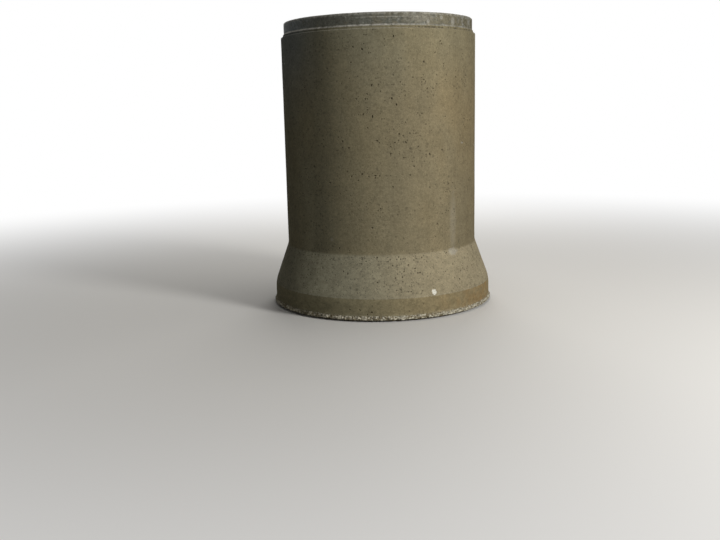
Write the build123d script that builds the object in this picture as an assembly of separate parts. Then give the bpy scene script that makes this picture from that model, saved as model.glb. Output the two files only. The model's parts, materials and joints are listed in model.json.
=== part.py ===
from math import radians, tan
import os

from build123d import *

# Concrete sewer pipe with a bell and spigot joint, stood on end on its bell.
# It is cast upright in one piece, so it is one turned solid.
# The origin is the middle of the rest face and +Z runs up the pipe's axis. Millimetres.

# Barrel
bore_diameter = 1200.0
barrel_wall = 135.0
barrel_length = 2000.0           # bore length, from the socket's seat to the spigot's end

# Spigot, the upper end, which carries the rubber ring
spigot_length = 106.0            # from the end face down to the barrel's shoulder
ring_seat_length = 82.0          # from the end face down to the ring stop
ring_seat_drop = 23.0            # how far the ring seat lies inside the barrel's face
ring_stop_rise = 7.0             # how far the stop stands out from the ring seat
spigot_nose_radius = 12.0
shoulder_chamfer = 5.0
spigot_bore_chamfer = 6.0

# Joint between two pipes
ring_gap = 10.0                  # room round the ring seat for the squeezed rubber ring
end_gap = 20.0                   # from a spigot's end to the socket's seat when laid

# Bell, the lower end
bell_wall = 123.0                # round the socket
bell_band_height = 165.0         # straight part of the bell's outside
flare_height = 303.0             # cone between the bell's band and the barrel
flare_foot_radius = 220.0
flare_head_radius = 90.0
mouth_depth = 22.0               # tapered lead-in of the socket
mouth_rise = 9.0
socket_seat_slope = 4.0          # degrees, so that the mould core draws out
socket_corner_radius = 14.0
seat_chamfer = 8.0

# Fin of grout, squeezed out where the mould's shell met its base ring
foot_chamfer = 14.0              # bevel under the fin, shaped by the base ring
fin_width = 14.0
fin_edge = 8.0                   # height of its outer edge
fin_top = 16.0                   # height over which it runs back into the band

bore_radius = bore_diameter / 2
barrel_radius = bore_radius + barrel_wall
ring_seat_radius = barrel_radius - ring_seat_drop
ring_stop_radius = ring_seat_radius + ring_stop_rise
socket_radius = ring_seat_radius + ring_gap
mouth_radius = socket_radius + mouth_rise
bell_radius = socket_radius + bell_wall
fin_radius = bell_radius + fin_width

socket_depth = spigot_length + end_gap
pipe_length = socket_depth + barrel_length
flare_top = bell_band_height + flare_height
shoulder_height = pipe_length - spigot_length
ring_stop_height = pipe_length - ring_seat_length
seat_fall = (socket_radius - bore_radius) * tan(radians(socket_seat_slope))


def bell_outside():
    """Corners up the outside of the bell, as (radius, height), from the rest face to the barrel."""
    return [
        (bell_radius - foot_chamfer, 0),
        (bell_radius, foot_chamfer),
        (fin_radius, foot_chamfer),
        (fin_radius, foot_chamfer + fin_edge),
        (bell_radius, foot_chamfer + fin_edge + fin_top),
        (bell_radius, bell_band_height),
        (barrel_radius, flare_top),
    ]


def spigot_outside():
    """Corners of the spigot's outside, from the barrel's shoulder to the end face."""
    return [
        (barrel_radius, shoulder_height - shoulder_chamfer),
        (barrel_radius - shoulder_chamfer, shoulder_height),
        (ring_stop_radius, shoulder_height),
        (ring_stop_radius, ring_stop_height - ring_stop_rise),
        (ring_seat_radius, ring_stop_height),
        (ring_seat_radius, pipe_length),
    ]


def inside():
    """Corners down the inside, from the spigot's end through the bore and socket to the mouth."""
    return [
        (bore_radius + spigot_bore_chamfer, pipe_length),
        (bore_radius, pipe_length - spigot_bore_chamfer),
        (bore_radius, socket_depth + seat_chamfer),
        (bore_radius + seat_chamfer, socket_depth),
        (socket_radius, socket_depth - seat_fall),
        (socket_radius, mouth_depth),
        (mouth_radius, 0),
    ]


def half_section():
    """Closed half section of the pipe, with its cast corners rounded."""
    rounded_corners = {
        (bell_radius, bell_band_height): flare_foot_radius,
        (barrel_radius, flare_top): flare_head_radius,
        (ring_seat_radius, pipe_length): spigot_nose_radius,
        (socket_radius, socket_depth - seat_fall): socket_corner_radius,
    }
    with BuildSketch() as section:
        with BuildLine():
            Polyline(*bell_outside(), *spigot_outside(), *inside(), close=True)
        make_face()
        for corner, radius in rounded_corners.items():
            fillet(section.vertices().sort_by_distance((*corner, 0))[0], radius)
    return section.sketch


def sewer_pipe():
    """The whole pipe, its half section turned about the axis."""
    return revolve(Plane.XZ * half_section(), Axis.Z)


pipe = sewer_pipe()
os.makedirs("parts", exist_ok=True)
export_step(pipe, "parts/pipe.step")

print(f"barrel {2 * barrel_radius:.0f} mm, bell {2 * bell_radius:.0f} mm, length {pipe_length:.0f} mm")
print(f"ring seat radius {ring_seat_radius:.0f} mm, socket radius {socket_radius:.0f} mm")
print(f"concrete {pipe.volume / 1e9:.3f} cubic metres")
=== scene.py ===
import json
import math
import random
from types import SimpleNamespace

import bmesh
import bpy
from mathutils import Matrix, Vector, kdtree, noise


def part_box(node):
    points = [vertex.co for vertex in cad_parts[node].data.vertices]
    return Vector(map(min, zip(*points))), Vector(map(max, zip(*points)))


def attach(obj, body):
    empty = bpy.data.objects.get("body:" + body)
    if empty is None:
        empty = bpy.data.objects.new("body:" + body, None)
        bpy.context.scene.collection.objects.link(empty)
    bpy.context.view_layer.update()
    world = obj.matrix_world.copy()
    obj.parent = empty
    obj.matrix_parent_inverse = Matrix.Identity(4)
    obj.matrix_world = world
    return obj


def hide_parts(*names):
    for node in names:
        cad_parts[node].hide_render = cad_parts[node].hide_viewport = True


bl_info = {
    "name": "Concrete sewer pipe",
    "version": (1, 0, 0),
    "blender": (4, 5, 0),
    "location": "View3D > Sidebar > Concrete pipe",
    "description": "Models a cast concrete sewer pipe that stands on its bell, with its rough base fin",
    "category": "Object",
}

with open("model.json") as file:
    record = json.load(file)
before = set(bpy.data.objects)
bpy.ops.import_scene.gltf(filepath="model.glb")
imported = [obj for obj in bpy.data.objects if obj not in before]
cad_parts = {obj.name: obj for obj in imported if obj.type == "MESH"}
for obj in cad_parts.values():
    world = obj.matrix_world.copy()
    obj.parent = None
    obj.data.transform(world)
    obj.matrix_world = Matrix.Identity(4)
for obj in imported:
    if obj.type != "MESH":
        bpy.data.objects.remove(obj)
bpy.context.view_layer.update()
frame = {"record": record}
MOUNTS = {mount["name"]: mount for mount in frame["record"]["mounts"]}
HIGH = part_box("pipe")[1]
MILLIMETRE = 0.001

# Width of the photograph, which the camera's focal length in pixels goes with
PICTURE_WIDTH = 720

# Soft lamps: place and diameter in metres
LAMPS = {
    "key": ((6.0, -5.0, 3.4), 2.0),
    "front": ((-1.2, -8.5, 2.6), 3.5),
    "top": ((0.6, 0.4, 6.0), 4.0),
    "back": ((0.5, 7.0, 4.5), 5.0),
}

# Azimuths in degrees of the sides that the photograph shows darker. The finish paints shade on both of them,
# and painted light and painted blue sky on the left.
RIGHT_SIDE = -10.0
LEFT_SIDE = 170.0

# Air holes: widths in millimetres, and how many of each width the casting has by chance
CHANCE_HOLES = {3.0: 180, 4.5: 420, 6.0: 900, 8.0: 360, 10.5: 190, 13.0: 34}

# The air holes that are plain to see in the photograph, by width, as azimuth in degrees and height in metres
SEEN_HOLES = {
    13.0: ((-110.6, 1.262), (-94.8, 1.436), (-92.4, 1.272), (-82.6, 1.303), (-86.0, 1.181), (-100.9, 1.026),
           (-97.7, 0.660), (-95.5, 1.018), (-100.2, 1.437)),
    10.5: ((-82.6, 1.276), (-83.8, 1.201), (-81.8, 1.533), (-98.8, 1.335), (-92.2, 1.038), (-82.5, 0.938),
           (-115.1, 0.892), (-90.3, 1.596), (-71.5, 0.318), (-92.6, 0.258), (-116.8, 0.275), (-102.3, 0.437),
           (-102.3, 0.421)),
    8.0: ((-88.1, 1.285), (-69.7, 1.209), (-61.5, 1.330), (-60.1, 1.562), (-78.5, 1.573), (-66.2, 1.778),
          (-66.5, 1.400), (-53.0, 1.786), (-98.2, 1.033), (-88.9, 1.024), (-86.2, 1.037), (-109.1, 0.893),
          (-89.3, 0.708), (-48.6, 0.927), (-84.7, 0.342), (-73.1, 0.178)),
}

# The pale marks that are plain to see in the photograph, as azimuth in degrees and then height, half width
# and half height in metres
SEEN_DRIPS = (
    (-43.5, 2.072, 0.026, 0.040),
    (-62.3, 2.062, 0.015, 0.022),
    (-53.0, 2.092, 0.018, 0.016),
    (-24.0, 2.080, 0.030, 0.022),
)
SEEN_BLOOM = (-69.0, 2.088, 0.130, 0.040)
SEEN_RUN = (-46.0, 0.66, 0.042, 0.27)
SEEN_PATCH = (-46.7, 0.445, 0.060, 0.034)
SEEN_DASH = (-37.1, 1.227, 0.024, 0.010)
SEEN_SPOT = (-120.4, 0.566, 0.016, 0.016)
SEEN_CHIP = (-65.3, 0.193, 0.023, 0.026)


def mount_radius(name):
    """Radius of one of the record's round mounts, in metres."""
    return MOUNTS[name]["dims"]["r_mm"] * MILLIMETRE


# Sizes and colours that a user would change


def length_property(name, description, default):
    """A length in metres, shown to a tenth of a millimetre."""
    return bpy.props.FloatProperty(name=name, description=description, default=default, unit="LENGTH",
                                   precision=4)


def colour_property(name, description, default):
    """A linear colour."""
    return bpy.props.FloatVectorProperty(name=name, description=description, default=default, size=3,
                                         min=0, max=1, subtype="COLOR")


def angle_property(name, description, degrees):
    """An angle, given here in degrees."""
    return bpy.props.FloatProperty(name=name, description=description, default=math.radians(degrees),
                                   subtype="ANGLE")


def power_property(name, description, default):
    """A lamp's power in watts."""
    return bpy.props.FloatProperty(name=name, description=description, default=default, unit="POWER")


class PipeSizes(bpy.types.PropertyGroup):
    """Sizes of the casting. The frame gives the outer box and the fitted radii."""

    length: length_property("Length", "Height of the standing pipe", HIGH.z)
    bore_radius: length_property("Bore radius", "Inside of the barrel", mount_radius("bore"))
    seat_radius: length_property("Ring seat radius", "Spigot under the rubber ring", mount_radius("spigot"))
    socket_radius: length_property("Socket radius", "Seal wall inside the bell", mount_radius("socket"))
    barrel_wall: length_property("Barrel wall", "Thickness of the barrel", 0.135)
    fin_width: length_property("Fin width", "How far the base fin stands out", 0.014)
    foot_chamfer: length_property("Foot chamfer", "Bevel of the bell's foot, under the base fin", 0.014)
    fin_top: length_property("Fin top", "Highest point of the base fin", 0.044)
    band_height: length_property("Band height", "Straight part of the bell's outside", 0.165)
    flare_height: length_property("Flare height", "Cone between the band and the barrel", 0.303)
    spigot_length: length_property("Spigot length", "End face to barrel shoulder", 0.106)
    seat_length: length_property("Ring seat length", "End face to ring stop", 0.082)
    stop_rise: length_property("Ring stop rise", "Step from the ring seat to the stop", 0.007)
    shoulder_chamfer: length_property("Shoulder chamfer", "Bevel on the barrel's shoulder", 0.005)
    socket_depth: length_property("Socket depth", "Rest face to socket seat", 0.126)
    seat_fall: length_property("Socket seat fall", "Drop of the socket seat towards its wall", 0.0085)
    mouth_depth: length_property("Mouth depth", "Tapered lead-in of the socket", 0.022)
    mouth_rise: length_property("Mouth rise", "How far the lead-in opens", 0.009)
    bore_chamfer: length_property("Bore chamfer", "Bevel at the ends of the bore", 0.007)

    @property
    def barrel_radius(self):
        """Outside of the barrel."""
        return self.bore_radius + self.barrel_wall

    @property
    def bell_radius(self):
        """Outside of the bell's band, without the fin."""
        return HIGH.x - self.fin_width

    @property
    def flare_top(self):
        """Height at which the flare meets the barrel."""
        return self.band_height + self.flare_height

    @property
    def shoulder(self):
        """Height of the barrel's shoulder."""
        return self.length - self.spigot_length

    @property
    def stop(self):
        """Height at which the ring stop meets the ring seat."""
        return self.length - self.seat_length


class ConcreteLook(bpy.types.PropertyGroup):
    """Colours of the cast concrete and of what marks it, and of the light and shade painted on it."""

    khaki: colour_property("Khaki", "Main colour of the barrel", (0.256, 0.213, 0.130))
    grey: colour_property("Grey", "Greyer clouds in the barrel", (0.238, 0.208, 0.137))
    flare: colour_property("Flare", "Paler, drier flare of the bell", (0.334, 0.297, 0.208))
    band: colour_property("Band", "Browner foot of the bell", (0.274, 0.231, 0.140))
    ochre: colour_property("Ochre", "Rusty stain on the band", (0.255, 0.175, 0.085))
    # Painted light: a cool cast on the left side and a warm cast on the right.
    painted_cool_light: colour_property("Left tint", "Cooler cast of the photograph's left", (0.930, 0.990, 1.000))
    painted_warm_light: colour_property("Right tint", "Warmer cast of the photograph's right", (1.000, 0.955, 0.870))
    spigot: colour_property("Spigot", "Greyer ring seat", (0.190, 0.176, 0.130))
    # Painted blue of the sky's light and reflection, high on the left side.
    painted_sky_blue: colour_property("Cold side", "The photograph's blue sky, high on the left", (0.160, 0.205, 0.250))
    damp: colour_property("Damp", "Damp patches on the ring seat", (0.124, 0.127, 0.107))
    chip: colour_property("Chip", "Fresh chip", (0.780, 0.750, 0.640))
    bore: colour_property("Bore", "Smoother concrete of the inside", (0.235, 0.215, 0.165))
    lime: colour_property("Lime", "White bloom, runs and worn edges", (0.470, 0.450, 0.390))
    # Also the dark colour of all painted shade: in air holes and pits, in the chipped step, at the bell's
    # foot, under the base fin and in the gaps of its grout.
    hole: colour_property("Hole", "Inside of an air hole", (0.050, 0.044, 0.032))
    fin: colour_property("Fin", "Dry grout of the base fin", (0.480, 0.445, 0.345))
    floor: colour_property("Floor", "Plain floor as the camera sees it", (0.740, 0.720, 0.680))
    floor_bounce: colour_property("Floor bounce", "Plain floor as a reflector", (0.350, 0.340, 0.320))


class StudioSettings(bpy.types.PropertyGroup):
    """Where the camera stands, and how strong the lamps are."""

    camera_height: length_property("Camera height", "Above the floor", 1.480)
    camera_distance: length_property("Camera distance", "From the pipe's axis, along the floor", 6.531)
    camera_side: length_property("Camera side step", "To the left of the pipe's axis", 0.1755)
    camera_pitch: angle_property("Camera pitch", "Downward tilt", 10.95)
    camera_roll: angle_property("Camera roll", "Anticlockwise turn of the picture", 1.32)
    focal_pixels: bpy.props.FloatProperty(name="Focal length in pixels", subtype="PIXEL", default=829.7,
                                          description="For a picture as wide as the photograph")
    key_power: power_property("Key lamp", "Large soft lamp on the right", 484.0)
    front_power: power_property("Front lamp", "Weak soft lamp by the camera", 47.0)
    top_power: power_property("Top lamp", "Large soft lamp overhead", 100.0)
    back_power: power_property("Back lamp", "Large soft lamp behind the pipe", 260.0)
    sky_strength: bpy.props.FloatProperty(name="Sky", description="Even light from all round", default=0.045)
    clear_floor: length_property("Clear floor", "Distance at which the floor starts to fade to white", 1.6)
    white_floor: length_property("White floor", "Distance at which the floor is white", 8.5)


# Modelling by hand: small steps with the edit mode's own operators


def deselect_everything():
    """Leaves nothing selected, so that an operator acts only on the new piece."""
    if bpy.context.mode != "OBJECT":
        bpy.ops.object.mode_set(mode="OBJECT")
    bpy.ops.object.select_all(action="DESELECT")


def begin_piece(name, first_point):
    """A new object in edit mode whose mesh is one vertex, from which an outline is extruded."""
    deselect_everything()
    bpy.ops.mesh.primitive_plane_add(size=0.01, location=(0, 0, 0))
    piece = bpy.context.object
    piece.name = name
    piece.data.name = name
    bpy.ops.object.mode_set(mode="EDIT")
    bpy.ops.mesh.select_mode(type="VERT")
    bpy.ops.mesh.select_all(action="SELECT")
    bpy.ops.mesh.merge(type="CENTER")
    bpy.ops.transform.translate(value=(first_point[0], 0, first_point[1]))
    return piece


def extrude_outline(points):
    """Extrudes the selected vertex along the points of an outline in the XZ plane and closes it."""
    for here, there in zip(points, points[1:] + points[:1]):
        step = (there[0] - here[0], 0, there[1] - here[1])
        bpy.ops.mesh.extrude_region_move(TRANSFORM_OT_translate={"value": step})
    bpy.ops.mesh.select_all(action="SELECT")
    bpy.ops.mesh.remove_doubles(threshold=0.0001)


def select_by_place(piece, kind, test):
    """Selects the vertices, edges or faces whose middle passes a test, and nothing else."""
    bpy.ops.mesh.select_mode(type={"verts": "VERT", "edges": "EDGE", "faces": "FACE"}[kind])
    bpy.ops.mesh.select_all(action="DESELECT")
    mesh = bmesh.from_edit_mesh(piece.data)
    chosen = 0
    for element in getattr(mesh, kind):
        if kind == "verts":
            middle = element.co
        elif kind == "edges":
            middle = (element.verts[0].co + element.verts[1].co) / 2
        else:
            middle = element.calc_center_median()
        if test(middle):
            element.select_set(True)
            chosen += 1
    mesh.select_flush_mode()
    bmesh.update_edit_mesh(piece.data)
    return chosen


def round_corner(piece, corner, setback):
    """Rounds one corner of the outline, starting a setback before and after it. A small one is a bevel."""
    largest_bevel = 0.003
    place = Vector((corner[0], 0, corner[1]))
    if select_by_place(piece, "verts", lambda middle: (middle - place).length < 0.0002) != 1:
        raise RuntimeError(f"the outline has no single corner at {corner}")
    segments = 3 if setback > largest_bevel else 1
    bpy.ops.mesh.bevel(offset=setback, segments=segments, affect="VERTICES", profile=0.5)


def divide_edge(piece, near, step):
    """Cuts the outline's edge whose middle is nearest to a point into steps of about one length."""
    mesh = bmesh.from_edit_mesh(piece.data)
    painted_gap_shade = [((edge.verts[0].co + edge.verts[1].co) / 2 - near).length for edge in mesh.edges]
    nearest = painted_gap_shade.index(min(painted_gap_shade))
    mesh.edges.ensure_lookup_table()
    middle = (mesh.edges[nearest].verts[0].co + mesh.edges[nearest].verts[1].co) / 2
    cuts = round(mesh.edges[nearest].calc_length() / step) - 1
    if cuts < 1:
        return
    select_by_place(piece, "edges", lambda place: (place - middle).length < 0.00001)
    bpy.ops.mesh.subdivide(number_cuts=cuts)


def turn_outline(name, corners, segments):
    """Draws an outline, rounds and divides it, and turns it about Z into a closed ring."""
    points = [(radius, height) for radius, height, _, _ in corners]
    piece = begin_piece(name, points[0])
    extrude_outline(points)
    for radius, height, setback, _ in corners:
        if setback:
            round_corner(piece, (radius, height), setback)
    for here, there in zip(corners, corners[1:] + corners[:1]):
        divide_edge(piece, Vector(((here[0] + there[0]) / 2, 0, (here[1] + there[1]) / 2)), here[3])
    bpy.ops.object.mode_set(mode="OBJECT")
    turning = piece.modifiers.new("turning", "SCREW")
    turning.axis = "Z"
    turning.angle = math.tau
    turning.steps = segments
    turning.render_steps = segments
    turning.use_merge_vertices = True
    bpy.ops.object.modifier_apply(modifier="turning")
    bpy.ops.object.mode_set(mode="EDIT")
    bpy.ops.mesh.select_mode(type="VERT")
    bpy.ops.mesh.select_all(action="SELECT")
    bpy.ops.mesh.remove_doubles(threshold=0.00005)
    bpy.ops.mesh.normals_make_consistent(inside=False)
    return piece


def weight_group(piece, name, weight):
    """A vertex group whose weights come from each vertex's place."""
    group = piece.vertex_groups.new(name=name)
    for vertex in piece.data.vertices:
        share = weight(vertex.co)
        if share > 0:
            group.add([vertex.index], share, "REPLACE")
    return name


def wear_down(piece, name, scale, detail, levels, depth, group=""):
    """Wears the surface inward by a cloud pattern, through a Displace modifier that is applied.

    The wear is full where the pattern is below the first level, and ends at the second.
    """
    texture = bpy.data.textures.new(name, "CLOUDS")
    texture.noise_scale = scale
    texture.noise_depth = detail
    texture.use_color_ramp = True
    for element, position, shade in zip(texture.color_ramp.elements, levels, (0, 1)):
        element.position = position
        element.color = (shade, shade, shade, 1)
    modifier = piece.modifiers.new(name, "DISPLACE")
    modifier.texture = texture
    modifier.texture_coords = "LOCAL"
    modifier.strength = depth
    modifier.mid_level = 1.0
    modifier.vertex_group = group
    bpy.ops.object.modifier_apply(modifier=name)


def finish_piece(piece, material, smooth_angle):
    """Gives the finished mesh its shading and material, and rides it on the pipe's body."""
    bpy.ops.object.shade_smooth_by_angle(angle=math.radians(smooth_angle))
    piece.data.materials.clear()
    piece.data.materials.append(material)
    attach(piece, "root")


# Shader maths


class Term:
    """A number that varies over the surface. Sums and products add Math nodes, and | takes the larger one."""

    def __init__(self, finish, socket):
        self.finish = finish
        self.socket = socket

    def combine(self, operation, first, second):
        """Adds one Math node."""
        return self.finish.node("ShaderNodeMath", {"operation": operation}, {0: first, 1: second})

    def __add__(self, other):
        return self.combine("ADD", self, other)

    def __radd__(self, other):
        return self.combine("ADD", other, self)

    def __sub__(self, other):
        return self.combine("SUBTRACT", self, other)

    def __rsub__(self, other):
        return self.combine("SUBTRACT", other, self)

    def __mul__(self, other):
        return self.combine("MULTIPLY", self, other)

    def __rmul__(self, other):
        return self.combine("MULTIPLY", other, self)

    def __or__(self, other):
        return self.combine("MAXIMUM", self, other)


class Finish:
    """The nodes of one procedural material, or of the sky."""

    def __init__(self, owner):
        self.owner = owner
        self.owner.use_nodes = True
        self.tree = self.owner.node_tree
        self.tree.nodes.clear()

    @property
    def place(self):
        """The Object coordinates."""
        return self.node("ShaderNodeTexCoord", {}, {}, "Object")

    def node(self, kind, settings, sockets, output=0):
        """Adds a node. Its settings are set first, and then the values or links of its sockets."""
        made = self.tree.nodes.new(kind)
        for name, value in settings.items():
            setattr(made, name, value)
        for key, value in sockets.items():
            if isinstance(value, Term):
                self.tree.links.new(value.socket, made.inputs[key])
            else:
                made.inputs[key].default_value = value
        return Term(self, made.outputs[output]) if made.outputs else None

    def axes(self):
        """The three Object coordinates as numbers."""
        return [self.node("ShaderNodeSeparateXYZ", {}, {0: self.place}, axis) for axis in range(3)]

    def from_axis(self):
        """The distance from the pipe's axis."""
        x, y, _ = self.axes()
        return self.node("ShaderNodeMath", {"operation": "SQRT"}, {0: x * x + y * y})

    def towards(self, azimuth):
        """How far a place lies from the axis towards an azimuth, in degrees from +X."""
        x, y, _ = self.axes()
        turn = math.radians(azimuth)
        return x * math.cos(turn) + y * math.sin(turn)

    def cloud(self, repeats, detail=3.0, roughness=0.55, distortion=0.0):
        """Noise from 0 to 1. The repeats are in a metre, along X, Y and Z."""
        stretched = self.node("ShaderNodeVectorMath", {"operation": "MULTIPLY"}, {0: self.place, 1: repeats})
        sockets = {"Vector": stretched, "Scale": 1.0, "Detail": detail, "Roughness": roughness,
                   "Distortion": distortion}
        return self.node("ShaderNodeTexNoise", {}, sockets)

    def rise(self, value, start, end):
        """Runs smoothly from 0 at start to 1 at end."""
        sockets = {"Value": value, "From Min": start, "From Max": end, "To Min": 0.0, "To Max": 1.0}
        return self.node("ShaderNodeMapRange", {"interpolation_type": "SMOOTHSTEP"}, sockets)

    def between(self, value, low, high, soft):
        """A mask that is 1 from low to high, with soft ends."""
        return self.rise(value, low - soft, low + soft) * (1 - self.rise(value, high - soft, high + soft))

    def mix(self, mask, colour, other):
        """One colour where the mask is 0, and the other where it is 1."""
        return self.node("ShaderNodeMix", {"data_type": "RGBA"}, {0: mask, 6: colour, 7: other}, 2)

    def shaded(self, colour, level):
        """A colour made lighter or darker by a number."""
        return self.node("ShaderNodeVectorMath", {"operation": "SCALE"}, {0: colour, "Scale": level})

    def cells(self, repeats):
        """Irregular cells, as the distance from each cell's middle and a random number for each cell."""
        sockets = {"Vector": self.place, "Scale": repeats, "Randomness": 1.0}
        near = self.node("ShaderNodeTexVoronoi", {"feature": "F1"}, sockets, "Distance")
        colour = self.node("ShaderNodeTexVoronoi", {"feature": "F1"}, sockets, "Color")
        return near, self.node("ShaderNodeSeparateColor", {}, {0: colour})

    def pits(self, repeats, reach, share):
        """Round pits in a share of the cells: 1 in the middle of a pit and 0 outside."""
        near, chance = self.cells(repeats)
        size = self.rise(chance, 1.0 - share, 1.0) * reach
        return 1 - self.rise(near, size * 0.5, size + 0.001)

    def mark(self, spot, ragged):
        """A spot on the outside, given like a seen mark. A number that varies makes its outline ragged."""
        azimuth, height, half_width, half_height = spot
        across = self.towards(azimuth + 90) * (1 / half_width)
        along = (self.axes()[2] - height) * (1 / half_height)
        away = across * across + along * along + ragged
        return (1 - self.rise(away, 0.15, 1.0)) * self.rise(self.towards(azimuth), 0.3, 0.4)

    def surface(self, colour, roughness, height, relief):
        """Joins colour, roughness and a relief's height in the material's output, with a faint sheen."""
        bump = self.node("ShaderNodeBump", {}, {"Strength": 1.0, "Distance": relief, "Height": height})
        sockets = {"Base Color": colour, "Roughness": roughness, "Normal": bump, "Specular IOR Level": 0.05}
        shader = self.node("ShaderNodeBsdfPrincipled", {}, sockets)
        self.node("ShaderNodeOutputMaterial", {}, {"Surface": shader})
        return self.owner


def rgba(colour):
    """A colour property as four numbers."""
    return (*colour, 1.0)


def concrete_patterns(finish):
    """Noise that the casting's colours and marks share, from the largest to the finest."""
    return SimpleNamespace(
        clouds=finish.cloud((1.6, 1.6, 0.9), detail=4.0),
        lifts=finish.cloud((0.9, 0.9, 11.0)),
        blotches=finish.cloud((9.0, 9.0, 7.0), detail=4.0, roughness=0.6),
        streaks=finish.cloud((26.0, 26.0, 0.8)),
        scuffs=finish.cloud((20.0, 20.0, 34.0), detail=4.0, roughness=0.6, distortion=0.4),
        runs=finish.cloud((60.0, 60.0, 3.5)),
        mottle=finish.cloud((55.0, 55.0, 55.0), detail=5.0, roughness=0.7),
        speckle=finish.cloud((130.0, 130.0, 130.0), roughness=0.6),
        grain=finish.cloud((420.0, 420.0, 420.0), detail=2.0),
    )


def pipe_zones(finish, sizes, patterns):
    """Masks that are 1 on one zone of the pipe and 0 elsewhere, with slightly uneven borders."""
    x, _, z = finish.axes()
    radius = finish.from_axis()
    uneven = (patterns.mottle - 0.5) * 0.012
    stop_foot = sizes.stop - sizes.stop_rise
    outside = finish.rise(radius, sizes.seat_radius - 0.010, sizes.seat_radius - 0.003)
    above_band = finish.rise(z + uneven, sizes.band_height - 0.003, sizes.band_height + 0.003)
    above_flare = finish.rise(z + uneven, sizes.flare_top - 0.018, sizes.flare_top + 0.004)
    spigot = finish.rise(z + uneven * 0.5, stop_foot - 0.004, stop_foot)
    wetness = patterns.scuffs * 0.7 + patterns.blotches * 0.3 - x * 0.14
    return SimpleNamespace(
        outside=outside,
        band=(1 - above_band) * outside * finish.rise(z, 0.001, 0.004),
        flare=above_band * outside * (1 - above_flare),
        spigot=spigot,
        soaked=finish.rise(wetness, 0.40, 0.56) * spigot,
        bore=1 - finish.rise(radius, sizes.bore_radius + 0.012, sizes.bore_radius + 0.020),
    )


def zone_colours(finish, look, patterns, zones):
    """The concrete's colour on each zone, before its marks, with a painted cast of light on its two sides and
    painted blue sky high on the left.
    """
    x, _, z = finish.axes()
    colour = finish.mix(finish.rise(patterns.clouds, 0.35, 0.65), rgba(look.khaki), rgba(look.grey))
    colour = finish.mix(zones.flare * (0.75 + 0.25 * patterns.blotches), colour, rgba(look.flare))
    colour = finish.mix(zones.band, colour, rgba(look.band))
    stain = finish.rise(x, 0.25, 0.80) * finish.rise(patterns.blotches, 0.38, 0.60) * zones.band
    colour = finish.mix(stain * 0.85, colour, rgba(look.ochre))
    # Painted light: the colour is tinted cool towards the left side and warm towards the right, less so high
    # up.
    painted_warmth = finish.rise(x + (patterns.clouds - 0.5) * 0.5, -0.60, 0.50)
    painted_warmth = painted_warmth * (1 - 0.6 * finish.rise(z, 1.45, 2.02))
    painted_light_cast = finish.mix(painted_warmth, rgba(look.painted_cool_light), rgba(look.painted_warm_light))
    colour = finish.node("ShaderNodeVectorMath", {"operation": "MULTIPLY"}, {0: colour, 1: painted_light_cast})
    browner = 0.40 * finish.rise(x + (patterns.scuffs - 0.5) * 0.8, 0.05, 0.45)
    colour = finish.mix(zones.spigot * (1 - browner), colour, rgba(look.spigot))
    colour = finish.mix(zones.soaked * 0.85, colour, rgba(look.damp))
    # Painted sky: blue light and reflection of the sky, high on the left side, weaker on the spigot.
    painted_sky_side = finish.rise(finish.towards(LEFT_SIDE), 0.24, 0.60) * finish.rise(z, 1.30, 2.05)
    colour = finish.mix(painted_sky_side * (0.48 - 0.18 * zones.spigot), colour, rgba(look.painted_sky_blue))
    return finish.mix(zones.bore, colour, rgba(look.bore))


def spigot_bloom(finish, sizes, patterns, zones):
    """White bloom on the ring seat, more of it near the end, with its drips."""
    x, _, z = finish.axes()
    upper = finish.rise(z, sizes.stop + 0.015, sizes.length - 0.010)
    scattered = patterns.scuffs * 0.6 + patterns.runs * 0.4 + x * 0.07 + upper * 0.03
    bloom = finish.rise(scattered, 0.57, 0.66) * finish.rise(patterns.blotches, 0.40, 0.52)
    bloom = bloom * zones.spigot * 0.9
    for drip in SEEN_DRIPS:
        bloom = bloom | finish.mark(drip, (patterns.mottle - 0.5) * 2.0)
    return bloom | finish.mark(SEEN_BLOOM, (patterns.scuffs - 0.5) * 4.0) * 0.40


def worn_edges(finish, sizes, patterns, zones):
    """Where the spigot is worn pale: its stop and shoulder, fading to one side, its nose and a scratch."""
    x, _, z = finish.axes()
    uneven = (patterns.mottle - 0.5) * 0.012
    fading = 1 - finish.rise(x, 0.0, 0.40)
    stop = finish.between(z + uneven * 0.25, sizes.stop - sizes.stop_rise * 1.3, sizes.stop + 0.002, 0.0015)
    stop = stop * (0.20 + 0.70 * fading + 0.20 * finish.rise(x, 0.38, 0.50))
    bevel_foot = sizes.shoulder - sizes.shoulder_chamfer * 1.1
    shoulder = finish.between(z + uneven * 0.3, bevel_foot, sizes.shoulder, 0.001) * (0.06 + 0.26 * fading)
    nose = finish.rise(z + uneven * 1.5, sizes.length - 0.022, sizes.length - 0.010) * 0.40
    scratch = finish.between(z + uneven * 0.5, sizes.length - 0.037, sizes.length - 0.031, 0.002)
    scratch = scratch * finish.between(x, -0.15, 0.35, 0.10) * zones.spigot * 0.5
    rubbed = 0.35 + 0.65 * finish.rise(patterns.mottle * 0.5 + patterns.scuffs * 0.5, 0.40, 0.53)
    return (stop | shoulder | nose | scratch) * rubbed * zones.outside


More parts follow.
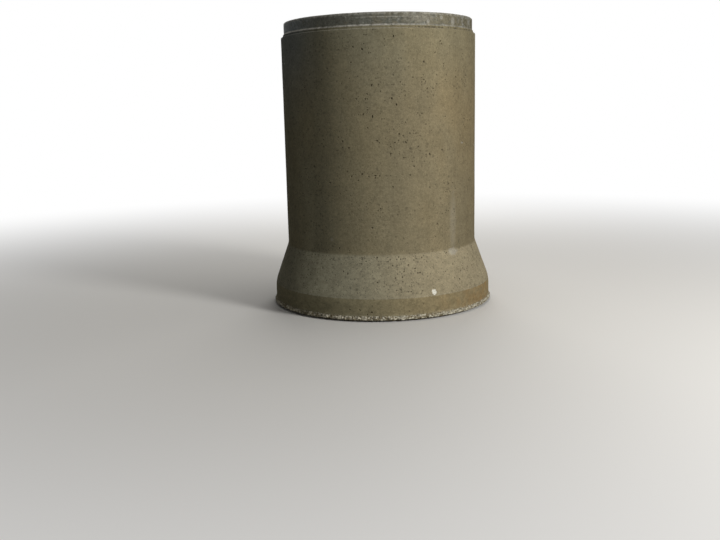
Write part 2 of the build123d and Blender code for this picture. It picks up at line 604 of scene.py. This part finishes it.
def lime_marks(finish, sizes, patterns, zones):
    """A painted highlight along the band's upper edge, lime spilt over the fin and run down the barrel, and
    pale knocks at the back.
    """
    _, y, z = finish.axes()
    swing = patterns.mottle - 0.5
    ragged = swing * 3.0
    # Painted highlight: a thin pale line along the band's upper edge.
    painted_band_highlight = finish.between(z + swing * 0.012, sizes.band_height - 0.002, sizes.band_height + 0.006, 0.002)
    spilt = (1 - finish.rise(z + swing * 0.10, 0.038, 0.066)) * finish.rise(patterns.mottle, 0.44, 0.60)
    run = finish.mark(SEEN_RUN, ragged) * (0.4 + 0.6 * patterns.runs)
    knocks = finish.pits(7.0, 0.13, 0.10) * finish.rise(patterns.mottle, 0.35, 0.50)
    knocks = knocks * finish.rise(y, 0.0, 0.35)
    spots = finish.mark(SEEN_DASH, ragged) * 0.35 | finish.mark(SEEN_SPOT, ragged) * 0.21
    spots = spots | finish.mark(SEEN_PATCH, ragged) * 0.42
    return (painted_band_highlight * 0.09 | spilt * 0.4) * zones.outside | run * 0.18 | spots | knocks * 0.6


def concrete_tone_and_painted_light(finish, patterns, zones):
    """How light the concrete is, about 1: streaks, mottle and grain, with painted shade on both sides and
    painted light on the left of the flare and the spigot.
    """
    right = finish.towards(RIGHT_SIDE)
    left = finish.towards(LEFT_SIDE)
    tone = 0.87 + 0.10 * patterns.streaks + 0.12 * patterns.lifts + 0.38 * (patterns.blotches - 0.5)
    tone = tone + (0.85 + 0.9 * zones.spigot) * (patterns.mottle - 0.5)
    tone = tone + 0.50 * (patterns.speckle - 0.5) + 0.16 * finish.rise(patterns.speckle, 0.60, 0.72)
    tone = tone + 0.18 * (patterns.grain - 0.5)
    dappled = 0.34 + 0.22 * zones.flare + 0.44 * zones.band + 0.46 * zones.spigot
    tone = tone + dappled * (patterns.scuffs - 0.5)
    # Painted shade: the right side is darker, less on the flare and band, more on the spigot.
    right_shade = finish.rise(right, 0.46, 0.75) * (1 - zones.flare * 0.4) * (1 - zones.band * 0.6)
    tone = tone * (1 - (0.28 + 0.16 * zones.spigot) * right_shade)
    # Painted shade: the left side is darker, less high up, more on the flare.
    left_shade = finish.rise(left, 0.42, 0.64) * (1 - 0.6 * finish.rise(finish.axes()[2], 1.20, 1.90))
    tone = tone * (1 - (0.28 + 0.20 * zones.flare) * left_shade)
    # Painted light: the left of the flare and of the spigot is made lighter.
    return tone * (1 + (0.28 * zones.flare + 0.36 * zones.spigot) * finish.rise(left, 0.14, 0.40))


def fine_pits(finish, zones):
    """Pits too small to model: in clusters on the barrel, all over the flare and few on the spigot. Their
    dark colour is painted shade.
    """
    gathered = finish.rise(finish.cloud((3.2, 3.2, 5.5), detail=2.0), 0.36, 0.62)
    crowd = (0.35 + 0.65 * gathered) * (1 - 0.75 * zones.band) | zones.flare
    small = finish.pits(85.0, 0.32, 0.38) | finish.pits(58.0, 0.27, 0.80)
    shallow = finish.pits(36.0, 0.30, 0.70) * 0.55 | finish.pits(25.0, 0.34, 0.85) * 0.42
    tiny = finish.pits(210.0, 0.34, 0.45)
    return (small * 0.85 | shallow | tiny * 0.5) * crowd * (1 - zones.spigot * 0.5)


def broken_step(finish, sizes, zones):
    """Dark, broken places between the spigot's shoulder and its stop, on one side. Their darkness is painted
    shade.
    """
    x, _, z = finish.axes()
    step = finish.between(z, sizes.shoulder - 0.002, sizes.stop - 0.014, 0.003) * zones.outside
    broken = finish.rise(finish.cloud((48.0, 48.0, 30.0), detail=2.0), 0.49, 0.57)
    return step * broken * finish.rise(x, 0.10, 0.25)


def cast_concrete(look, sizes):
    """Finish of the whole casting: clouded khaki, with its own tone on each zone, and painted light and
    painted shade.
    """
    finish = Finish(bpy.data.materials.new("cast_concrete"))
    patterns = concrete_patterns(finish)
    zones = pipe_zones(finish, sizes, patterns)
    swing = patterns.mottle - 0.5

    pale = spigot_bloom(finish, sizes, patterns, zones) * 0.5 | worn_edges(finish, sizes, patterns, zones)
    pale = pale | lime_marks(finish, sizes, patterns, zones)
    white_chip = finish.rise(finish.mark(SEEN_CHIP, swing * 3.0), 0.25, 0.50)
    # Painted shade: the lowest centimetres of the bell's outside are darkened.
    painted_foot_shade = (1 - finish.rise(finish.axes()[2] + swing * 0.010, 0.008, 0.018)) * zones.outside
    colour = zone_colours(finish, look, patterns, zones)
    colour = finish.mix(pale, colour, rgba(look.lime))
    colour = finish.mix(white_chip, colour, rgba(look.chip))
    colour = finish.mix(painted_foot_shade * 0.75, colour, rgba(look.hole))

    flecks = (finish.pits(100.0, 0.30, 0.50) | finish.pits(47.0, 0.22, 0.35)) * (0.4 + 0.8 * zones.flare)
    tone = concrete_tone_and_painted_light(finish, patterns, zones) + 0.30 * flecks * zones.outside
    colour = finish.shaded(colour, tone)
    # Painted shade: the bottoms of the modelled air holes, the fine pits and the chipped places on the step
    # are darkened.
    sunk = finish.node("ShaderNodeAttribute", {"attribute_name": "sunk"}, {}, "Fac")
    pitted = fine_pits(finish, zones) * (1 - (pale | white_chip))
    broken = broken_step(finish, sizes, zones)
    colour = finish.mix(pitted * 0.80 | sunk * 0.68 | broken * 0.65, colour, rgba(look.hole))

    roughness = 0.88 + 0.10 * patterns.mottle - 0.36 * zones.soaked
    height = patterns.grain * 0.10 + patterns.mottle * 0.30 - pitted * 0.60
    return finish.surface(colour, roughness, height, 0.002)


def broken_grout(look):
    """Finish of the base fin: pale, dry grains, with painted shade in the gaps between them, under the fin
    and on its right side.
    """
    finish = Finish(bpy.data.materials.new("broken_grout"))
    x, _, z = finish.axes()
    lumps = finish.cloud((70.0, 70.0, 70.0), detail=4.0, roughness=0.65)
    grain = finish.cloud((330.0, 330.0, 330.0))
    patches = finish.cloud((9.0, 9.0, 9.0), detail=2.0)
    near, chance = finish.cells(75.0)
    stones = finish.rise(chance * 0.7 + patches * 0.6, 0.30, 0.75)
    colour = finish.mix(stones, rgba(look.khaki), rgba(look.fin))
    tone = 0.85 + 0.5 * (lumps - 0.5) + 0.4 * chance
    # Painted shade: the fin's right side is darker.
    colour = finish.shaded(colour, tone * (1 - 0.14 * finish.rise(x, 0.35, 0.70)))
    # Painted shade in the gaps between the grains.
    painted_gap_shade = finish.rise(near, 0.42, 0.75) * finish.rise(lumps, 0.65, 0.40)
    # Painted shade on the fin's underside and lowest edge.
    painted_underside_shade = 1 - finish.rise(z + (lumps - 0.5) * 0.008, 0.0135, 0.0165)
    colour = finish.mix(painted_gap_shade * 0.6 | painted_underside_shade * 0.8, colour, rgba(look.hole))
    return finish.surface(colour, 0.95 - 0.05 * lumps, lumps * 0.5 + grain * 0.2 - near * 0.5, 0.004)


# The casting


def pipe_corners(sizes):
    """Corners of the half section: radius, height, rounding setback and step along the next edge."""
    stop_radius = sizes.seat_radius + sizes.stop_rise
    row = 0.015
    fine = 0.008
    return [
        (sizes.socket_radius + sizes.mouth_rise, 0.0, 0.004, 0.040),
        (sizes.bell_radius - sizes.foot_chamfer, 0.0, 0.002, 0.010),
        (sizes.bell_radius, sizes.foot_chamfer, 0.002, row),
        (sizes.bell_radius, sizes.band_height, 0.039, row),
        (sizes.barrel_radius, sizes.flare_top, 0.016, row),
        (sizes.barrel_radius, sizes.shoulder - sizes.shoulder_chamfer, 0.0012, fine),
        (sizes.barrel_radius - sizes.shoulder_chamfer, sizes.shoulder, 0.0012, fine),
        (stop_radius, sizes.shoulder, 0.002, fine),
        (stop_radius, sizes.stop - sizes.stop_rise, 0.0012, fine),
        (sizes.seat_radius, sizes.stop, 0.0012, 0.012),
        (sizes.seat_radius, sizes.length, 0.011, 0.022),
        (sizes.bore_radius + sizes.bore_chamfer, sizes.length, 0.002, fine),
        (sizes.bore_radius, sizes.length - sizes.bore_chamfer, 0.002, 0.20),
        (sizes.bore_radius, sizes.socket_depth + sizes.bore_chamfer, 0.002, fine),
        (sizes.bore_radius + sizes.bore_chamfer, sizes.socket_depth, 0.002, 0.040),
        (sizes.socket_radius, sizes.socket_depth - sizes.seat_fall, 0.012, 0.030),
        (sizes.socket_radius, sizes.mouth_depth, 0.003, 0.012),
    ]


def loosen_grid(piece, sizes):
    """Shifts the outside's vertices along its turned surface, so that nothing on it stands in rows."""
    draw = random.Random(11)
    share = 0.35
    turns = (0.26, -0.26, 0.15, -0.15)
    lifts = (0.0035, -0.0035, 0.002, -0.002)
    least = sizes.bore_radius + 0.06
    low = sizes.flare_top + 0.03
    high = sizes.shoulder - 0.02
    for turn in turns:
        select_by_place(piece, "verts", lambda place: place.xy.length > least and draw.random() < share)
        bpy.ops.transform.rotate(value=math.radians(turn), orient_axis="Z", center_override=(0, 0, 0))
    for lift in lifts:
        select_by_place(piece, "verts", lambda place: place.xy.length > least and low < place.z < high
                        and draw.random() < share)
        bpy.ops.transform.translate(value=(0, 0, lift))
    slope = (sizes.bell_radius - sizes.barrel_radius) / sizes.flare_height
    middle_radius = sizes.bell_radius - 0.5 * sizes.flare_height * slope
    for lift in lifts:
        select_by_place(piece, "verts", lambda place: place.xy.length > least and draw.random() < share
                        and sizes.band_height + 0.055 < place.z < low - 0.06)
        bpy.ops.transform.translate(value=(0, 0, lift))
        narrower = 1 - lift * slope / middle_radius
        bpy.ops.transform.resize(value=(narrower, narrower, 1), center_override=(0, 0, 0))


def hole_chance(place, sizes):
    """How likely an air hole is at a place on the outside: in clusters and levels, and more on the flare."""
    gathered = noise.noise(Vector((place.x * 3.1, place.y * 3.1, place.z * 5.5)))
    levels = noise.noise(Vector((place.x * 0.7, place.y * 0.7, place.z * 13.0 + 4.0)))
    if place.z < sizes.band_height:
        share = 0.30
    elif place.z < sizes.flare_top:
        share = 1.3
    else:
        share = 0.30 + 0.9 * max(0.0, 1 - abs(place.z - 1.05) / 0.95)
    return share * max(0.0, 0.35 + 1.3 * gathered + 0.9 * levels)


def open_ground(piece):
    """Middles of the outside's roughly square faces, where an air hole has room."""
    shortest = 0.0115
    longest = 0.0215
    middles = []
    for face in bmesh.from_edit_mesh(piece.data).faces:
        middle = face.calc_center_median()
        outward = face.normal.x * middle.x + face.normal.y * middle.y
        sides = [edge.calc_length() for edge in face.edges]
        if outward > 0 and len(sides) == 4 and min(sides) > shortest and max(sides) < longest:
            middles.append(middle)
    return middles


def sink_holes(piece, places, width):
    """Sinks an air hole into each chosen face: a rim, its corners cut off where it is wide, and a bottom."""
    cell = 0.0138             # side of a face that has room for a hole
    square_below = 0.005      # narrower holes stay square
    stepped_above = 0.007     # wider holes get a deeper middle
    octagon_cut = 29          # percent of a side, which leaves eight nearly equal sides

    def rounded(place):
        return tuple(round(value, 5) for value in place)

    wanted = {rounded(place) for place in places}
    found = select_by_place(piece, "faces", lambda middle: rounded(middle) in wanted)
    if found != len(wanted):
        raise RuntimeError(f"{found} faces were found for {len(wanted)} air holes")
    if not wanted:
        return
    bpy.ops.mesh.inset(thickness=(cell - width) / 2, use_individual=True)
    if width < square_below:
        bpy.ops.mesh.inset(thickness=width * 0.25, depth=-width * 0.5, use_individual=True)
    else:
        bpy.ops.mesh.bevel(offset_type="PERCENT", offset_pct=octagon_cut, affect="VERTICES")
        bpy.ops.mesh.select_mode(type="FACE")
        bpy.ops.mesh.select_all(action="DESELECT")
        bpy.ops.mesh.select_face_by_sides(number=8, type="EQUAL")
        bpy.ops.mesh.inset(thickness=width * 0.12, depth=-width * 0.35, use_individual=True)
        if width > stepped_above:
            bpy.ops.mesh.inset(thickness=width * 0.18, depth=-width * 0.15, use_individual=True)
    bpy.ops.object.vertex_group_assign()
    bpy.ops.mesh.hide(unselected=False)


def prick_air_holes(piece, sizes):
    """Air holes left by the casting: those in the photograph, and the rest by chance in clusters."""
    draw = random.Random(29)
    candidates = 12           # faces round a seen hole, of which it takes the nearest free one
    likelihood = 0.32
    radius = sizes.barrel_radius
    middles = open_ground(piece)
    tree = kdtree.KDTree(len(middles))
    for index, middle in enumerate(middles):
        tree.insert(middle, index)
    tree.balance()
    taken = set()
    places = {width: [] for width in CHANCE_HOLES}
    for width, seen in SEEN_HOLES.items():
        for azimuth, height in seen:
            turn = math.radians(azimuth)
            spot = Vector((radius * math.cos(turn), radius * math.sin(turn), height))
            for middle, index, _ in tree.find_n(spot, candidates):
                if index not in taken:
                    taken.add(index)
                    places[width].append(middle)
                    break
    order = [index for index in range(len(middles)) if index not in taken]
    draw.shuffle(order)
    likely = [middles[index] for index in order
              if draw.random() < hole_chance(middles[index], sizes) * likelihood]
    if len(likely) < sum(CHANCE_HOLES.values()):
        raise RuntimeError(f"only {len(likely)} places for air holes")
    for width, count in CHANCE_HOLES.items():
        places[width] += likely[:count]
        likely = likely[count:]
    piece.vertex_groups.active_index = piece.vertex_groups.new(name="hole_bottoms").index
    for width in sorted(places):
        sink_holes(piece, places[width], width * MILLIMETRE)
    bpy.ops.mesh.reveal(select=False)


def spread_group(piece, group_name, name):
    """Turns a vertex group into an attribute, which the material reads."""
    index = piece.vertex_groups[group_name].index
    levels = piece.data.attributes.new(name=name, type="FLOAT", domain="POINT")
    for vertex in piece.data.vertices:
        weights = [group.weight for group in vertex.groups if group.group == index]
        levels.data[vertex.index].value = max(weights, default=0.0)


# Operators


class CONCRETE_PIPE_OT_cast_body(bpy.types.Operator):
    """Casts the pipe's body, with its joint profile, air holes and chipped edges."""

    bl_idname = "concrete_pipe.cast_body"
    bl_label = "Cast body"

    def execute(self, context):
        sizes = context.scene.pipe_sizes
        steps = (sizes.shoulder, sizes.stop, sizes.length)
        reach = 0.014

        def edge_weight(place):
            if place.xy.length < sizes.seat_radius - 0.02 or place.z < sizes.shoulder - 0.02:
                return 0.0
            return max(0.0, 1 - min(abs(place.z - step) for step in steps) / reach)

        piece = turn_outline("pipe_body", pipe_corners(sizes), 300)
        loosen_grid(piece, sizes)
        bpy.ops.object.mode_set(mode="OBJECT")
        edges = weight_group(piece, "chipped_edges", edge_weight)
        wear_down(piece, "slow_waves", 0.28, 1, (0, 1), 0.0016)
        wear_down(piece, "chips", 0.030, 1, (0.22, 0.34), 0.003, edges)
        bpy.ops.object.mode_set(mode="EDIT")
        prick_air_holes(piece, sizes)
        bpy.ops.object.mode_set(mode="OBJECT")
        spread_group(piece, "hole_bottoms", "sunk")
        finish_piece(piece, cast_concrete(context.scene.concrete_look, sizes), 40)
        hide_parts("pipe")
        return {"FINISHED"}


class CONCRETE_PIPE_OT_base_fin(bpy.types.Operator):
    """Lays the broken fin of grout round the foot of the bell."""

    bl_idname = "concrete_pipe.base_fin"
    bl_label = "Base fin"

    def execute(self, context):
        sizes = context.scene.pipe_sizes
        inner = sizes.bell_radius - 0.008
        outer = HIGH.x - 0.002
        undivided = 1.0
        corners = [
            (inner, sizes.foot_chamfer, 0, undivided),
            (outer, sizes.foot_chamfer, 0, undivided),
            (outer, sizes.fin_top * 0.65, 0, undivided),
            (sizes.bell_radius + 0.003, sizes.fin_top, 0, undivided),
            (inner, sizes.fin_top, 0, undivided),
        ]
        piece = turn_outline("base_fin", corners, 260)
        bpy.ops.mesh.select_all(action="SELECT")
        bpy.ops.mesh.subdivide(number_cuts=6)
        bpy.ops.object.mode_set(mode="OBJECT")
        shell = sizes.bell_radius - 0.001
        outside = weight_group(piece, "outside", lambda place: float(place.xy.length > shell))
        wear_down(piece, "broken_runs", 0.040, 2, (0.25, 0.6), 0.0095, outside)
        wear_down(piece, "lumps", 0.013, 1, (0.3, 0.65), 0.0045, outside)
        finish_piece(piece, broken_grout(context.scene.concrete_look), 60)
        return {"FINISHED"}


class CONCRETE_PIPE_OT_studio(bpy.types.Operator):
    """Sets the plain floor, the soft lamps and the camera of the photograph."""

    bl_idname = "concrete_pipe.studio"
    bl_label = "Studio"

    def execute(self, context):
        studio = context.scene.pipe_studio
        self.lay_floor(context.scene.concrete_look, studio)
        self.light_sky(studio)
        for name, (place, diameter) in LAMPS.items():
            self.hang_lamp(f"{name}_lamp", place, diameter, getattr(studio, f"{name}_power"))
        self.stand_camera(studio)
        context.scene.view_settings.view_transform = "Standard"
        return {"FINISHED"}

    def lay_floor(self, look, studio):
        """A round floor that fades to white far from the pipe."""
        deselect_everything()
        bpy.ops.mesh.primitive_circle_add(vertices=96, radius=60, fill_type="NGON", location=(0, 0, 0))
        floor = bpy.context.object
        floor.name = "floor"
        finish = Finish(bpy.data.materials.new("plain_floor"))
        seen = finish.node("ShaderNodeLightPath", {}, {}, "Is Camera Ray")
        colour = finish.mix(seen, rgba(look.floor_bounce), rgba(look.floor))
        matt = finish.node("ShaderNodeBsdfDiffuse", {}, {"Color": colour})
        white = finish.node("ShaderNodeEmission", {}, {"Color": (1, 1, 1, 1), "Strength": 1.0})
        far = finish.rise(finish.from_axis(), studio.clear_floor, studio.white_floor) * seen
        shader = finish.node("ShaderNodeMixShader", {}, {0: far, 1: matt, 2: white})
        finish.node("ShaderNodeOutputMaterial", {}, {"Surface": shader})
        floor.data.materials.append(finish.owner)

    def light_sky(self, studio):
        """Even light from all round, which the camera and reflections see as white."""
        world = bpy.data.worlds.new("studio_sky")
        bpy.context.scene.world = world
        sky = Finish(world)
        seen = sky.node("ShaderNodeLightPath", {}, {}, "Is Camera Ray")
        seen = seen | sky.node("ShaderNodeLightPath", {}, {}, "Is Glossy Ray")
        strength = studio.sky_strength + (1.0 - studio.sky_strength) * seen
        glow = sky.node("ShaderNodeBackground", {}, {"Color": (1, 1, 1, 1), "Strength": strength})
        sky.node("ShaderNodeOutputWorld", {}, {"Surface": glow})

    def hang_lamp(self, name, place, diameter, power):
        """A round soft lamp that points at the middle of the pipe."""
        bpy.ops.object.light_add(type="AREA", location=place)
        lamp = bpy.context.object
        lamp.name = name
        lamp.data.shape = "DISK"
        lamp.data.size = diameter
        lamp.data.energy = power
        aim = Vector((0, 0, 1.0)) - Vector(place)
        lamp.rotation_euler = aim.to_track_quat("-Z", "Y").to_euler()

    def stand_camera(self, studio):
        """The camera at the photograph's viewing angle."""
        place = Vector((-studio.camera_side, -studio.camera_distance, studio.camera_height))
        bpy.ops.object.camera_add(location=place)
        camera = bpy.context.object
        camera.name = "photo_camera"
        camera.data.sensor_width = 36
        camera.data.lens = studio.focal_pixels / PICTURE_WIDTH * camera.data.sensor_width
        camera.data.clip_end = 200
        level = math.pi / 2 - studio.camera_pitch
        turned = Matrix.Rotation(level, 4, "X") @ Matrix.Rotation(-studio.camera_roll, 4, "Z")
        camera.matrix_world = Matrix.Translation(place) @ turned
        bpy.context.scene.camera = camera


class CONCRETE_PIPE_PT_panel(bpy.types.Panel):
    """Lists the steps that make the pipe."""

    bl_label = "Concrete pipe"
    bl_idname = "CONCRETE_PIPE_PT_panel"
    bl_space_type = "VIEW_3D"
    bl_region_type = "UI"
    bl_category = "Concrete pipe"

    def draw(self, context):
        for step in STEPS:
            self.layout.operator(step.bl_idname)


STEPS = (CONCRETE_PIPE_OT_cast_body, CONCRETE_PIPE_OT_base_fin, CONCRETE_PIPE_OT_studio)
CLASSES = (PipeSizes, ConcreteLook, StudioSettings, *STEPS, CONCRETE_PIPE_PT_panel)


def register():
    """Registers the classes and hangs their settings on the scene."""
    for registered in CLASSES:
        bpy.utils.register_class(registered)
    bpy.types.Scene.pipe_sizes = bpy.props.PointerProperty(type=PipeSizes)
    bpy.types.Scene.concrete_look = bpy.props.PointerProperty(type=ConcreteLook)
    bpy.types.Scene.pipe_studio = bpy.props.PointerProperty(type=StudioSettings)


def unregister():
    """Takes the settings off the scene and unregisters the classes."""
    del bpy.types.Scene.pipe_studio
    del bpy.types.Scene.concrete_look
    del bpy.types.Scene.pipe_sizes
    for registered in reversed(CLASSES):
        bpy.utils.unregister_class(registered)


def main():
    register()
    bpy.ops.concrete_pipe.cast_body()
    bpy.ops.concrete_pipe.base_fin()
    bpy.ops.concrete_pipe.studio()


if __name__ == "__main__":
    main()
